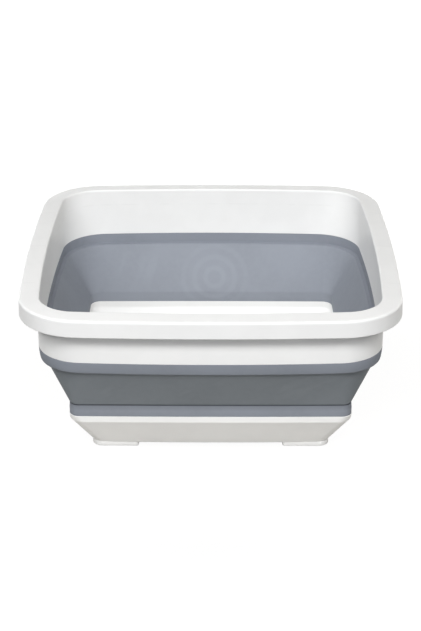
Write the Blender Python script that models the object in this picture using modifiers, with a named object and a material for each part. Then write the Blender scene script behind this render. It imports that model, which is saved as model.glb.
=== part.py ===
"""Collapsible bucket: a white rim frame and a white base tray joined by a grey folding wall, on corner feet.

Units are metres and +Z is up. The origin is on the floor under the bucket's middle, and the front faces -Y.
Every horizontal section is a rounded square whose sides bow outward, and each piece of the wall is a loft
through such sections: the corner radius and the bow change from the rim to the base, so no two are alike.
"""

import math
from dataclasses import dataclass

import bmesh
import bpy

# Rim frame: a sloping flange with a turned-down skirt, and the wall that hangs from the flange's inner edge
RIM_SPAN = 0.380  # across the flange from mid side to mid side
WALL_INSET = 0.0166  # flange edge to the outer face of the wall
WALL_THICK = 0.0028
WHITE_WALL_HEIGHT = 0.0536  # crest of the flange down to the grey band
FLANGE_THICK = 0.0024
FLANGE_DROP = 0.0014  # how much lower the flange's outer edge is than its crest
SKIRT_DEPTH = 0.0186  # crest of the flange down to the skirt's lower edge
SKIRT_THICK = 0.0022
SKIRT_FLARE = 0.0005

# Folding wall: an upper band round the rim frame's tongue, a fold panel, a lower band round the base's tongue
UPPER_BAND_HEIGHT = 0.0125
UPPER_BAND_TAPER = 0.0010  # how far the band's face has curved in at its foot
LEDGE_EDGE_THICK = 0.0008  # inner edge of the band's inward ledge, which carries the panel's hinge
LEDGE_ROOT_THICK = 0.0014
HINGE_STEP = 0.0035  # outer face of the band to outer face of the panel, at the upper hinge
PANEL_HEIGHT = 0.0482
PANEL_THICK = 0.0022  # measured level, across the slope
PANEL_FOOT_INSET = 0.0004  # outer face of the panel behind that of the lower band, at the lower hinge
LOWER_BAND_HEIGHT = 0.0130
LOWER_BAND_INSET = 0.0313  # outer face of the rim's wall to outer face of the lower band
LOWER_BAND_TOP_INSET = 0.0005  # the band's face bulges between its top and its foot
LOWER_BAND_FOOT_INSET = 0.0002
INNER_SEAM_RISE = 0.0010  # how much higher the band's foot is on the inside of the bucket

# Base tray: a short upright band, sloping walls and a flat floor
BASE_BAND_HEIGHT = 0.0068
BASE_BAND_PROUD = 0.0003  # how far the band's top stands out from the grey band above it
BASE_BAND_DRAFT = 0.0004
BASE_SLOPE_HEIGHT = 0.0333
BASE_SLOPE_INSET = 0.0204
BASE_SLOPE_THICK = 0.0024
FLOOR_THICK = 0.0024

# Corner feet: square pads under the base's corners
FOOT_HEIGHT = 0.0044
FOOT_SPAN = 0.0472
FOOT_EDGE_INSET = 0.0011
FOOT_OUTER_CORNER = 0.0105
FOOT_INNER_CORNER = 0.0025
FOOT_EDGE_ROUND = 0.0008

# Tongue and groove joints between the white pieces and the grey wall moulded round them
TONGUE_THICK = 0.0010
UPPER_TONGUE_LENGTH = 0.0068
LOWER_TONGUE_LENGTH = 0.0080
LOWER_TONGUE_OUTSET = 0.0011  # outer face of the lower band to outer face of the base's tongue
LOWER_LIP_THICK = 0.0004  # part of the lower band that lies inside the base's tongue
SEAT_GAP = 0.0003

# Radii of the rounded edges
ROUND_CREST = 0.0020  # inner edge of the flange
ROUND_FLANGE_EDGE = 0.0022
ROUND_UNDER_FLANGE = 0.0012
ROUND_SKIRT_OUTER = 0.0005
ROUND_SKIRT_INNER = 0.0005
ROUND_UPPER_BAND = 0.0016
ROUND_LOWER_BAND = 0.0005
ROUND_BASE_EDGE = 0.0005
ROUND_TRAY_WALL = 0.0010
ROUND_TRAY_FLOOR = 0.0030

# Corner radii of the sections, and the bow of their sides: how far mid side stands out
CORNER_FLANGE = 0.062
CORNER_WALL_TOP = 0.0408
CORNER_WALL_FOOT = 0.049
CORNER_PANEL_TOP = 0.047
CORNER_PANEL_FOOT = 0.0095
CORNER_LOWER_BAND = 0.0105
CORNER_INNER_WALL = 0.0120
CORNER_BASE_EDGE = 0.0145
CORNER_BASE_FOOT = 0.0115
RIM_BOW = 0.0074
BASE_BOW = 0.0010
FOOT_BOW = 0.0018

# Fineness of the mesh
SIDE_STEPS = 3  # on each half side
CORNER_STEPS = 9
ROUND_STEPS = 2
SHARP_ANGLE = math.radians(35)  # edges steeper than this stay sharp under smooth shading

# Heights above the floor, stacked from the feet up
FLOOR_UNDERSIDE = FOOT_HEIGHT
BASE_BAND_FOOT = FLOOR_UNDERSIDE + BASE_SLOPE_HEIGHT
LOWER_SEAM = BASE_BAND_FOOT + BASE_BAND_HEIGHT
INNER_SEAM = LOWER_SEAM + INNER_SEAM_RISE
FOLD_FOOT = LOWER_SEAM + LOWER_BAND_HEIGHT
FOLD_TOP = FOLD_FOOT + PANEL_HEIGHT
UPPER_SEAM = FOLD_TOP + UPPER_BAND_HEIGHT
CREST = UPPER_SEAM + WHITE_WALL_HEIGHT

# Half widths at mid side
WALL_HALF = RIM_SPAN / 2 - WALL_INSET
LOWER_HALF = WALL_HALF - LOWER_BAND_INSET
BASE_EDGE_HALF = LOWER_HALF + BASE_BAND_PROUD - BASE_BAND_DRAFT
BASE_FOOT_HALF = BASE_EDGE_HALF - BASE_SLOPE_INSET

# Thickness of the lower band: what laps outside the tongue, the tongue, its gap and the lip inside it
LOWER_BAND_THICK = LOWER_TONGUE_OUTSET + TONGUE_THICK + SEAT_GAP + LOWER_LIP_THICK
INNER_WALL_HALF = LOWER_HALF - LOWER_BAND_THICK

COLLECTION_NAME = "collapsible_bucket"


@dataclass(frozen=True)
class Section:
    """One horizontal section: a rounded square with bowed sides at one height."""

    half: float
    corner: float
    bow: float
    height: float
    rounding: float = 0.0  # radius that a bevel gives the edge along this section


@dataclass(frozen=True)
class Finish:
    """Colour and surface of one material."""

    name: str
    colour: tuple
    roughness: float


WHITE_PLASTIC = Finish("white_polypropylene", (0.86, 0.86, 0.85, 1.0), 0.38)
GREY_RUBBER = Finish("grey_thermoplastic_rubber", (0.20, 0.215, 0.24, 1.0), 0.60)
PALE_RUBBER = Finish("pale_foot_rubber", (0.80, 0.80, 0.79, 1.0), 0.55)


def mix(start, end, share):
    """Value that lies the given share of the way from start to end."""
    return start + (end - start) * share


def outline(section):
    """Points of a section, counter-clockwise from the +X axis; tangent arcs, alike in every quadrant."""
    side_radius = (section.half**2 + section.bow**2) / (2 * section.bow)
    side_centre = section.half - side_radius
    reach = side_radius - section.corner
    corner_centre = (side_centre + math.sqrt(2 * reach**2 - side_centre**2)) / 2
    corner_start = math.atan2(corner_centre, corner_centre - side_centre)
    side = []
    for step in range(SIDE_STEPS):
        angle = corner_start * step / SIDE_STEPS
        side.append((side_centre + side_radius * math.cos(angle), side_radius * math.sin(angle)))
    corner = []
    for step in range(CORNER_STEPS + 1):
        angle = mix(corner_start, math.pi / 2 - corner_start, step / CORNER_STEPS)
        x = corner_centre + section.corner * math.cos(angle)
        y = corner_centre + section.corner * math.sin(angle)
        corner.append((x, y))
    quadrant = side + corner + [(y, x) for x, y in reversed(side[1:])]
    points = []
    for _ in range(4):
        points += quadrant
        quadrant = [(-y, x) for x, y in quadrant]
    return points


def loft(name, sections, hollow):
    """Solid through the sections: a ring whose last section meets its first, or a tray with flat caps."""
    mesh = bmesh.new()
    weight = mesh.edges.layers.float.new("bevel_weight_edge")
    widest = max(section.rounding for section in sections)
    loops = []
    for section in sections:
        loops.append([mesh.verts.new((x, y, section.height)) for x, y in outline(section)])
    pairs = list(zip(loops, loops[1:]))
    if hollow:
        pairs.append((loops[-1], loops[0]))
    for lower, upper in pairs:
        for index, corner in enumerate(lower):
            following = (index + 1) % len(lower)
            mesh.faces.new((corner, lower[following], upper[following], upper[index]))
    if not hollow:
        mesh.faces.new(loops[0])
        mesh.faces.new(loops[-1])
    for section, loop in zip(sections, loops):
        if section.rounding > 0:
            for index, corner in enumerate(loop):
                edge = mesh.edges.get((corner, loop[(index + 1) % len(loop)]))
                edge[weight] = section.rounding / widest
    bmesh.ops.recalc_face_normals(mesh, faces=mesh.faces)
    piece = new_object(name, mesh)
    if widest > 0:
        add_bevel(piece, widest)
    return piece


def new_object(name, mesh):
    """Object of that name from a finished bmesh, in the bucket's collection."""
    data = bpy.data.meshes.new(name)
    mesh.to_mesh(data)
    mesh.free()
    piece = bpy.data.objects.new(name, data)
    bpy.data.collections[COLLECTION_NAME].objects.link(piece)
    return piece


def add_bevel(piece, width):
    """Rounds the weighted edges: a weight of 1 gives the full width."""
    bevel = piece.modifiers.new("rounded_edges", "BEVEL")
    bevel.limit_method = "WEIGHT"
    bevel.width = width
    bevel.segments = ROUND_STEPS
    bevel.use_clamp_overlap = False


def wall_section(offset, height, rounding=0.0):
    """Section parallel to the rim's wall; its corners widen from the flange down to the grey band."""
    share = min(max((CREST - height) / WHITE_WALL_HEIGHT, 0.0), 1.0)
    corner = mix(CORNER_WALL_TOP, CORNER_WALL_FOOT, share)
    return Section(WALL_HALF + offset, corner + offset, RIM_BOW, height, rounding)


def flange_section(offset, height, rounding=0.0):
    """Section between the wall and the flange's edge, whose corners are rounder than the wall's."""
    corner = mix(CORNER_WALL_TOP, CORNER_FLANGE, offset / WALL_INSET)
    return Section(WALL_HALF + offset, corner, RIM_BOW, height, rounding)


def build_rim_frame():
    """Flange, skirt and wall in one ring, with the tongue that the grey band grips."""

    def flange_top(offset):
        share = (offset + WALL_THICK) / (WALL_INSET + WALL_THICK)
        return CREST - FLANGE_DROP * share

    skirt_edge = CREST - SKIRT_DEPTH
    skirt_out = WALL_INSET + SKIRT_FLARE
    skirt_in = skirt_out - SKIRT_THICK
    tongue_end = UPPER_SEAM - UPPER_TONGUE_LENGTH
    shoulder = (WALL_THICK - TONGUE_THICK) / 2
    return loft(
        "rim_frame",
        [
            wall_section(0, UPPER_SEAM),
            flange_section(0, flange_top(0) - FLANGE_THICK, ROUND_UNDER_FLANGE),
            flange_section(skirt_in, flange_top(skirt_in) - FLANGE_THICK, ROUND_UNDER_FLANGE),
            flange_section(skirt_in, skirt_edge, ROUND_SKIRT_INNER),
            flange_section(skirt_out, skirt_edge, ROUND_SKIRT_OUTER),
            flange_section(WALL_INSET, flange_top(WALL_INSET), ROUND_FLANGE_EDGE),
            wall_section(-WALL_THICK, CREST, ROUND_CREST),
            wall_section(-WALL_THICK, UPPER_SEAM),
            wall_section(-WALL_THICK + shoulder, UPPER_SEAM),
            wall_section(-WALL_THICK + shoulder, tongue_end),
            wall_section(-shoulder, tongue_end),
            wall_section(-shoulder, UPPER_SEAM),
        ],
        hollow=True,
    )


def build_upper_band():
    """Grey band flush with the rim's wall, with a groove for its tongue and a ledge over the panel."""
    shoulder = (WALL_THICK - TONGUE_THICK) / 2
    lip = shoulder - SEAT_GAP
    top = UPPER_SEAM - SEAT_GAP
    groove_end = UPPER_SEAM - UPPER_TONGUE_LENGTH - SEAT_GAP
    ledge_reach = UPPER_BAND_TAPER + HINGE_STEP + PANEL_THICK
    return loft(
        "wall_upper_band",
        [
            wall_section(0, top),
            wall_section(-UPPER_BAND_TAPER / 4, (top + FOLD_TOP) / 2),
            wall_section(-UPPER_BAND_TAPER, FOLD_TOP, ROUND_UPPER_BAND),
            wall_section(-ledge_reach, FOLD_TOP),
            wall_section(-ledge_reach, FOLD_TOP + LEDGE_EDGE_THICK),
            wall_section(-WALL_THICK, FOLD_TOP + LEDGE_ROOT_THICK),
            wall_section(-WALL_THICK, top),
            wall_section(-WALL_THICK + lip, top),
            wall_section(-WALL_THICK + lip, groove_end),
            wall_section(-lip, groove_end),
            wall_section(-lip, top),
        ],
        hollow=True,
    )


def build_fold_panel():
    """Sloping middle of the wall, which turns inside out when the rim is pushed down."""
    outer_top = WALL_HALF - UPPER_BAND_TAPER - HINGE_STEP
    outer_foot = LOWER_HALF - PANEL_FOOT_INSET
    top = FOLD_TOP - SEAT_GAP
    foot = FOLD_FOOT + SEAT_GAP

    def panel_section(share, inward):
        foot_corner = mix(CORNER_PANEL_FOOT, CORNER_INNER_WALL, inward / PANEL_THICK)
        return Section(
            mix(outer_top, outer_foot, share) - inward,
            mix(CORNER_PANEL_TOP - inward, foot_corner, share),
            mix(RIM_BOW, BASE_BOW, share),
            mix(top, foot, share),
        )

    shares = (0.0, 0.5, 1.0)
    outer = [panel_section(share, 0) for share in shares]
    inner = [panel_section(share, PANEL_THICK) for share in reversed(shares)]
    return loft("wall_fold_panel", outer + inner, hollow=True)


def lower_section(offset, height, rounding=0.0):
    """Section parallel to the lower band's outer face."""
    return Section(LOWER_HALF + offset, CORNER_LOWER_BAND + offset, BASE_BOW, height, rounding)


def inner_section(height, rounding=0.0):
    """Section of the upright inner face that the lower band and the base share; its corners are wider."""
    return Section(INNER_WALL_HALF, CORNER_INNER_WALL, BASE_BOW, height, rounding)


def build_lower_band():
    """Grey band that laps over the base's tongue."""
    groove_out = LOWER_TONGUE_OUTSET - SEAT_GAP
    groove_in = LOWER_TONGUE_OUTSET + TONGUE_THICK + SEAT_GAP
    groove_end = LOWER_SEAM + LOWER_TONGUE_LENGTH + SEAT_GAP
    foot = LOWER_SEAM + SEAT_GAP
    inner_foot = INNER_SEAM + SEAT_GAP
    return loft(
        "wall_lower_band",
        [
            lower_section(-LOWER_BAND_FOOT_INSET, foot),
            lower_section(0, (foot + FOLD_FOOT) / 2),
            lower_section(-LOWER_BAND_TOP_INSET, FOLD_FOOT, ROUND_LOWER_BAND),
            inner_section(FOLD_FOOT, ROUND_LOWER_BAND),
            inner_section(inner_foot),
            lower_section(-groove_in, inner_foot),
            lower_section(-groove_in, groove_end),
            lower_section(-groove_out, groove_end),
            lower_section(-groove_out, foot),
        ],
        hollow=True,
    )


def build_base_tray():
    """Base tray: floor, sloping walls, upright band and the tongue that the lower band grips."""
    tongue_top = LOWER_SEAM + LOWER_TONGUE_LENGTH
    tongue_in = LOWER_TONGUE_OUTSET + TONGUE_THICK
    slope = math.atan2(BASE_SLOPE_HEIGHT, BASE_SLOPE_INSET)
    slope_thick = BASE_SLOPE_THICK / math.sin(slope)
    run = BASE_SLOPE_INSET / BASE_SLOPE_HEIGHT
    floor_inner = BASE_FOOT_HALF + FLOOR_THICK * run - slope_thick
    floor_top = FLOOR_UNDERSIDE + FLOOR_THICK
    slope_top = floor_top + (INNER_WALL_HALF - floor_inner) / run
    return loft(
        "base_tray",
        [
            Section(BASE_FOOT_HALF, CORNER_BASE_FOOT, FOOT_BOW, FLOOR_UNDERSIDE, ROUND_BASE_EDGE),
            Section(BASE_EDGE_HALF, CORNER_BASE_EDGE, BASE_BOW, BASE_BAND_FOOT, ROUND_BASE_EDGE),
            lower_section(BASE_BAND_PROUD, LOWER_SEAM),
            lower_section(-LOWER_TONGUE_OUTSET, LOWER_SEAM),
            lower_section(-LOWER_TONGUE_OUTSET, tongue_top),
            lower_section(-tongue_in, tongue_top),
            lower_section(-tongue_in, INNER_SEAM),
            inner_section(INNER_SEAM),
            inner_section(slope_top, ROUND_TRAY_WALL),
            Section(floor_inner, CORNER_INNER_WALL, BASE_BOW, floor_top, ROUND_TRAY_FLOOR),
        ],
        hollow=False,
    )


def build_foot(name, side_x, side_y):
    """Square pad under one corner of the base, its outer corner as round as the base's."""
    height = FOOT_HEIGHT - SEAT_GAP
    centre = BASE_FOOT_HALF - FOOT_EDGE_INSET - FOOT_SPAN / 2
    mesh = bmesh.new()
    bmesh.ops.create_cube(mesh, size=1.0)
    bmesh.ops.scale(mesh, verts=mesh.verts, vec=(FOOT_SPAN, FOOT_SPAN, height))
    weight = mesh.edges.layers.float.new("bevel_weight_edge")
    for edge in mesh.edges:
        first, second = edge.verts
        middle = (first.co + second.co) / 2
        if abs(first.co.z - second.co.z) > height / 2:
            outermost = middle.x * side_x > 0 and middle.y * side_y > 0
            radius = FOOT_OUTER_CORNER if outermost else FOOT_INNER_CORNER
            edge[weight] = radius / FOOT_OUTER_CORNER
    foot = new_object(name, mesh)
    foot.location = (side_x * centre, side_y * centre, height / 2)
    add_bevel(foot, FOOT_OUTER_CORNER)
    foot.modifiers["rounded_edges"].segments = CORNER_STEPS
    lower_edge = foot.modifiers.new("lower_edge", "BEVEL")
    lower_edge.limit_method = "ANGLE"
    lower_edge.angle_limit = 2 * SHARP_ANGLE
    lower_edge.width = FOOT_EDGE_ROUND
    lower_edge.segments = ROUND_STEPS
    return foot


def apply_finish(piece, finish):
    """Gives the piece its material and smooth shading that stays sharp at real edges."""
    material = bpy.data.materials.get(finish.name)
    if material is None:
        material = bpy.data.materials.new(finish.name)
        material.use_nodes = True
        shader = material.node_tree.nodes["Principled BSDF"]
        shader.inputs["Base Color"].default_value = finish.colour
        shader.inputs["Roughness"].default_value = finish.roughness
        shader.inputs["Metallic"].default_value = 0.0
    piece.data.materials.append(material)
    piece.data.shade_smooth()
    piece.data.set_sharp_from_angle(angle=SHARP_ANGLE)


def carry_on_slide(pieces):
    """Parents the pieces that move with the rim to an empty on the vertical axis of its slide."""
    slide = bpy.data.objects.new("rim_slide_axis", None)
    slide.location = (0.0, 0.0, CREST)
    bpy.data.collections[COLLECTION_NAME].objects.link(slide)
    for piece in pieces:
        piece.parent = slide
        piece.location.z -= CREST


def main():
    """Builds the bucket, open and standing on the floor."""
    for old in list(bpy.data.objects):
        bpy.data.objects.remove(old)
    collection = bpy.data.collections.new(COLLECTION_NAME)
    bpy.context.scene.collection.children.link(collection)
    rim_frame = build_rim_frame()
    upper_band = build_upper_band()
    fold_panel = build_fold_panel()
    lower_band = build_lower_band()
    base_tray = build_base_tray()
    feet = []
    for depth, side_y in (("front", -1), ("back", 1)):
        for hand, side_x in (("left", -1), ("right", 1)):
            feet.append(build_foot(f"foot_{depth}_{hand}", side_x, side_y))
    for piece in (rim_frame, base_tray):
        apply_finish(piece, WHITE_PLASTIC)
    for piece in (upper_band, fold_panel, lower_band):
        apply_finish(piece, GREY_RUBBER)
    for piece in feet:
        apply_finish(piece, PALE_RUBBER)
    carry_on_slide((rim_frame, upper_band))


main()
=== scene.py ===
"""Collapsible bucket: the finished rim frame, folding wall, base tray and feet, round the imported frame.

Lengths are metres and +Z is up. The origin is on the floor under the bucket's middle, and the front faces
-Y. Every moulding is drawn ring by ring. A ring is a rounded square with bowed sides, and the corner radius
and the bow change from the rim down to the base.
"""

import logging
import math
from collections.abc import Callable
from dataclasses import dataclass, field, replace
from enum import Enum

import bmesh
import bpy
from mathutils import Matrix, Vector
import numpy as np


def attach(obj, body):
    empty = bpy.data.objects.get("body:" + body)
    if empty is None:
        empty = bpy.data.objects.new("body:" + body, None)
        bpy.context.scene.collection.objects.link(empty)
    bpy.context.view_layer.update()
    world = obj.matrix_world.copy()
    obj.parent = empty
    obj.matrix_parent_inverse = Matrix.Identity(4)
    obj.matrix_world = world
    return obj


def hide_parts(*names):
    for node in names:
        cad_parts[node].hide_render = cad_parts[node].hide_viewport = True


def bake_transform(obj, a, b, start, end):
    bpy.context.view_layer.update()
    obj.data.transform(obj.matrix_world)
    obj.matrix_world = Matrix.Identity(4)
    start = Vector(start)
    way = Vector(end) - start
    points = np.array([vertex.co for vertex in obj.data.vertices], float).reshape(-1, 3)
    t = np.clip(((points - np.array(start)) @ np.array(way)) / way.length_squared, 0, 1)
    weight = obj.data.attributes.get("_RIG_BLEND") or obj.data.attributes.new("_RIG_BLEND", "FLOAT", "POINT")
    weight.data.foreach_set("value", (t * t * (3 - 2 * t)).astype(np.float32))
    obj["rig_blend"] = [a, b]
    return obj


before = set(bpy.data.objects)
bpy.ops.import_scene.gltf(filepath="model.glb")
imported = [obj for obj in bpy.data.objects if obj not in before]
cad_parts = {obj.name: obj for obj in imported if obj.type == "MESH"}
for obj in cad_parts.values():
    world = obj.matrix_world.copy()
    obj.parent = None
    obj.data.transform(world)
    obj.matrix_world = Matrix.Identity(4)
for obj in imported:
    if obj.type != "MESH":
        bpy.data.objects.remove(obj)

log = logging.getLogger("bucket")

# Heights above the floor
BASE_UNDERSIDE = 0.0044
TRAY_FLOOR = 0.0068
BASE_BAND_FOOT = 0.0384
LOWER_SEAM = 0.0448
FOLD_FOOT = 0.0575
FOLD_TOP = 0.1057
UPPER_SEAM = 0.1182
CREST = 0.1718

# Columns of vertices round a moulding
SIDE_STEPS = 12
CORNER_STEPS = 20
COLUMNS = 4 * (2 * SIDE_STEPS + CORNER_STEPS)

# Numbers stored on the meshes
COLUMN_LAYER = "column"
RING_LAYER = "ring"
FLAT = -1  # ring number of vertices inside a filled face
INNER_FACE = "inner_face"
REST_PLACE = "rest_place"
# strength of the shade painted into creases, stored per vertex
CREASE_SHADE = "crease"

SEAM_ROUND = 0.0002  # radius of an edge that meets another moulding
TONGUE_THICK = 0.0010  # tongues of the white mouldings, which the grey wall grips
UPPER_TONGUE = 0.0068
LOWER_TONGUE = 0.0080
SMOOTH_ANGLE = math.radians(40)  # faces that meet at less than this are shaded as one

Colour = tuple[float, float, float, float]
Pair = tuple[float, float]
Triple = tuple[float, float, float]
Piece = bpy.types.Object
Socket = bpy.types.NodeSocket


class Body(Enum):
    """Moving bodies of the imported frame."""

    RIM = "rim"
    BASE = "base"


class Slot(Enum):
    """Names of material slots, which nothing in this script uses."""

    WHITE = "white_plastic"
    GREY = "grey_rubber"
    PALE = "pale_rubber"


class Depth(Enum):
    """Front and back rows of feet, by the sign of their Y."""

    FRONT = -1
    BACK = 1


class Hand(Enum):
    """Left and right columns of feet, by the sign of their X."""

    LEFT = -1
    RIGHT = 1


def mix(start: float, end: float, share: float) -> float:
    """Value that lies the given share of the way from start to end."""
    return start + (end - start) * share


def deselect_all() -> None:
    """Leaves object mode and selects nothing, so that an operator acts on the new piece alone."""
    if bpy.context.object is not None and bpy.context.object.mode != "OBJECT":
        bpy.ops.object.mode_set(mode="OBJECT")
    bpy.ops.object.select_all(action="DESELECT")


@dataclass(frozen=True)
class Section:
    """One horizontal section: a rounded square with bowed sides.

    Attributes:
        half: half the width, at mid side.
        corner: corner radius.
        bow: how far mid side stands out beyond the ends of the side.
        height: height above the floor.
        rounding: radius of the edge that runs along this section.
        crease: strength of the shade painted on this section where it lies in a crease, from 0 to 1.
    """

    half: float
    corner: float
    bow: float
    height: float
    rounding: float = 0.0
    crease: float = 0.0

    def outline(self) -> list[tuple[float, float]]:
        """Draws the section with tangent arcs.

        Returns:
            Its points, counter-clockwise from the +X axis.
        """
        side_radius = (self.half**2 + self.bow**2) / (2 * self.bow)
        side_centre = self.half - side_radius
        reach = side_radius - self.corner
        corner_centre = (side_centre + math.sqrt(2 * reach**2 - side_centre**2)) / 2
        corner_start = math.atan2(corner_centre, corner_centre - side_centre)
        side = []
        for step in range(SIDE_STEPS):
            angle = corner_start * step / SIDE_STEPS
            side.append((side_centre + side_radius * math.cos(angle), side_radius * math.sin(angle)))
        corner = []
        for step in range(CORNER_STEPS + 1):
            angle = mix(corner_start, math.pi / 2 - corner_start, step / CORNER_STEPS)
            x = corner_centre + self.corner * math.cos(angle)
            y = corner_centre + self.corner * math.sin(angle)
            corner.append((x, y))
        quadrant = side + corner + [(y, x) for x, y in reversed(side[1:])]
        points = []
        for _ in range(4):
            points += quadrant
            quadrant = [(-y, x) for x, y in quadrant]
        return points

    def towards(self, other: "Section", share: float) -> "Section":
        """Section on the way to another one, with a plain edge.

        Args:
            other: section at the far end.
            share: how much of the way it lies along.

        Returns:
            The section between.
        """
        return Section(
            mix(self.half, other.half, share),
            mix(self.corner, other.corner, share),
            mix(self.bow, other.bow, share),
            mix(self.height, other.height, share),
            crease=mix(self.crease, other.crease, share),
        )

    def with_crease_shade(self, depth: float) -> "Section":
        """The same section, with painted crease shade of the given strength."""
        return replace(self, crease=depth)

    def distance(self, other: "Section") -> float:
        """Length of the profile from this section to another one, at mid side."""
        return math.hypot(self.half - other.half, self.height - other.height)


class Moulding:
    """A moulded piece drawn as rings of vertices, with edit-mode operators."""

    SUPPORT = 0.0005  # from a rounded edge to the ring that keeps its face flat
    SPACING = 0.006  # widest distance between two rings
    SLIVER = 1e-7  # a ring this near to the next one is left out
    LEVEL = 1e-6  # vertices this near in height lie in one plane
    ROUND_STEPS = 4

    def __init__(self, name: str, first: Section) -> None:
        """Adds the circle that the piece starts from and lays it on the first section.

        Args:
            name: name of the piece.
            first: section that the piece starts from.
        """
        deselect_all()
        bpy.ops.mesh.primitive_circle_add(
            vertices=COLUMNS, radius=first.half, fill_type="NOTHING", location=(0, 0, first.height)
        )
        self.piece = bpy.context.object
        self.piece.name = name
        self.piece.data.name = name
        bpy.ops.object.transform_apply(location=True, rotation=True, scale=True)
        bpy.ops.object.mode_set(mode="EDIT")
        bpy.ops.mesh.select_mode(type="EDGE")
        bpy.ops.mesh.select_all(action="SELECT")
        mesh = bmesh.from_edit_mesh(self.piece.data)
        mesh.verts.layers.int.new(COLUMN_LAYER)
        mesh.verts.layers.int.new(RING_LAYER)
        mesh.verts.layers.float.new(CREASE_SHADE)
        column = mesh.verts.layers.int[COLUMN_LAYER]
        round_about = sorted(mesh.verts, key=lambda v: math.atan2(v.co.y, v.co.x) % math.tau)
        for place, vertex in enumerate(round_about):
            vertex[column] = place
        bmesh.update_edit_mesh(self.piece.data)
        self.sections = [first]
        self._lay(first)

    def _lay(self, section: Section) -> None:
        """Moves the selected ring on to a section and notes its number and the strength of its painted crease
        shade.

        Args:
            section: the last of the sections.
        """
        mesh = bmesh.from_edit_mesh(self.piece.data)
        column = mesh.verts.layers.int[COLUMN_LAYER]
        ring = mesh.verts.layers.int[RING_LAYER]
        crease = mesh.verts.layers.float[CREASE_SHADE]
        points = section.outline()
        for vertex in mesh.verts:
            if vertex.select:
                x, y = points[vertex[column]]
                vertex.co = (x, y, section.height)
                vertex[ring] = len(self.sections) - 1
                vertex[crease] = section.crease
        bmesh.update_edit_mesh(self.piece.data)

    def _extrude(self, section: Section) -> None:
        """Extrudes the last ring.

        Args:
            section: section that it reaches.
        """
        rise = section.height - self.sections[-1].height
        bpy.ops.mesh.extrude_region_move(TRANSFORM_OT_translate={"value": (0, 0, rise)})
        self.sections.append(section)
        self._lay(section)

    def draw(self, *sections: Section) -> None:
        """Extrudes from section to section, with rings between that keep faces flat beside rounded edges.

        Args:
            sections: next sections of the profile, in order.
        """
        for section in sections:
            before = self.sections[-1]
            length = before.distance(section)
            start = before.rounding + self.SUPPORT if before.rounding else 0.0
            end = length - (section.rounding + self.SUPPORT if section.rounding else 0.0)
            count = max(1, math.ceil((end - start) / self.SPACING)) if end > start else -1
            for step in range(count + 1):
                share = (start + (end - start) * step / count) / length
                if 0 < share * length and (1 - share) * length > self.SLIVER:
                    self._extrude(before.towards(section, share))
            self._extrude(section)

    def close_ring(self) -> None:
        """Joins the last ring to the first, for a wall that is open at top and bottom."""
        bpy.ops.mesh.select_all(action="DESELECT")
        bpy.ops.mesh.select_non_manifold()
        bpy.ops.mesh.bridge_edge_loops()

    def close_floor(self, inset: float) -> None:
        """Fills the open rings with flat faces, each inset so that its rim stays flat.

        Args:
            inset: width of the strip between a filled face and its edge.
        """
        for height in (self.sections[0].height, self.sections[-1].height):
            bpy.ops.mesh.select_all(action="DESELECT")
            bpy.ops.mesh.select_mode(type="EDGE")
            mesh = bmesh.from_edit_mesh(self.piece.data)
            for edge in mesh.edges:
                if edge.is_boundary and abs(edge.verts[0].co.z - height) < self.LEVEL:
                    edge.select_set(True)
            bmesh.update_edit_mesh(self.piece.data)
            bpy.ops.mesh.edge_face_add()
            bpy.ops.mesh.select_mode(type="FACE")
            bpy.ops.mesh.inset(thickness=inset, depth=0)
            mesh = bmesh.from_edit_mesh(self.piece.data)
            ring = mesh.verts.layers.int[RING_LAYER]
            for face in mesh.faces:
                if face.select:
                    for vertex in face.verts:
                        vertex[ring] = FLAT
            bmesh.update_edit_mesh(self.piece.data)

    def finish(self) -> Piece:
        """Turns the faces outward, rounds the noted edges and shades the piece.

        Returns:
            The finished piece.
        """
        bpy.ops.mesh.select_all(action="SELECT")
        bpy.ops.mesh.normals_make_consistent(inside=False)
        self._weigh_edges()
        bpy.ops.object.mode_set(mode="OBJECT")
        widest = max(section.rounding for section in self.sections)
        bevel = self.piece.modifiers.new("rounded_edges", "BEVEL")
        bevel.limit_method = "WEIGHT"
        bevel.width = widest
        bevel.segments = self.ROUND_STEPS
        bevel.use_clamp_overlap = False
        bpy.ops.object.modifier_apply(modifier=bevel.name)
        bpy.ops.object.shade_smooth_by_angle(angle=SMOOTH_ANGLE)
        return self.piece

    def _weigh_edges(self) -> None:
        """Gives the edges of each ring the bevel weight of their section's rounding."""
        widest = max(section.rounding for section in self.sections)
        mesh = bmesh.from_edit_mesh(self.piece.data)
        weight = mesh.edges.layers.float.new("bevel_weight_edge")
        ring = mesh.verts.layers.int[RING_LAYER]
        for edge in mesh.edges:
            first, second = edge.verts
            if first[ring] == second[ring] != FLAT and edge.calc_length() > 0:
                edge[weight] = self.sections[first[ring]].rounding / widest
        bmesh.update_edit_mesh(self.piece.data)


class Value:
    """Number in a shader. An expression on it adds its Math nodes."""

    def __init__(self, graph: "ShaderGraph", socket: Socket) -> None:
        """Wraps a socket of a graph."""
        self.graph = graph
        self.socket = socket

    def __add__(self, other: "Value | float") -> "Value":
        """Sum with another number."""
        return self.graph.math("ADD", self, other)

    __radd__ = __add__

    def __sub__(self, other: "Value | float") -> "Value":
        """This number less another."""
        return self.graph.math("SUBTRACT", self, other)

    def __rsub__(self, other: float) -> "Value":
        """Another number less this one."""
        return self.graph.math("SUBTRACT", other, self)

    def __mul__(self, other: "Value | float") -> "Value":
        """Product with another number."""
        return self.graph.math("MULTIPLY", self, other)

    __rmul__ = __mul__

    def __abs__(self) -> "Value":
        """Size of this number without its sign."""
        return self.graph.math("ABSOLUTE", self)

    def larger(self, other: "Value | float") -> "Value":
        """Larger one of two numbers."""
        return self.graph.math("MAXIMUM", self, other)


Axes = tuple[Value, Value, Value]
Feed = Value | Socket | float | tuple


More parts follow.
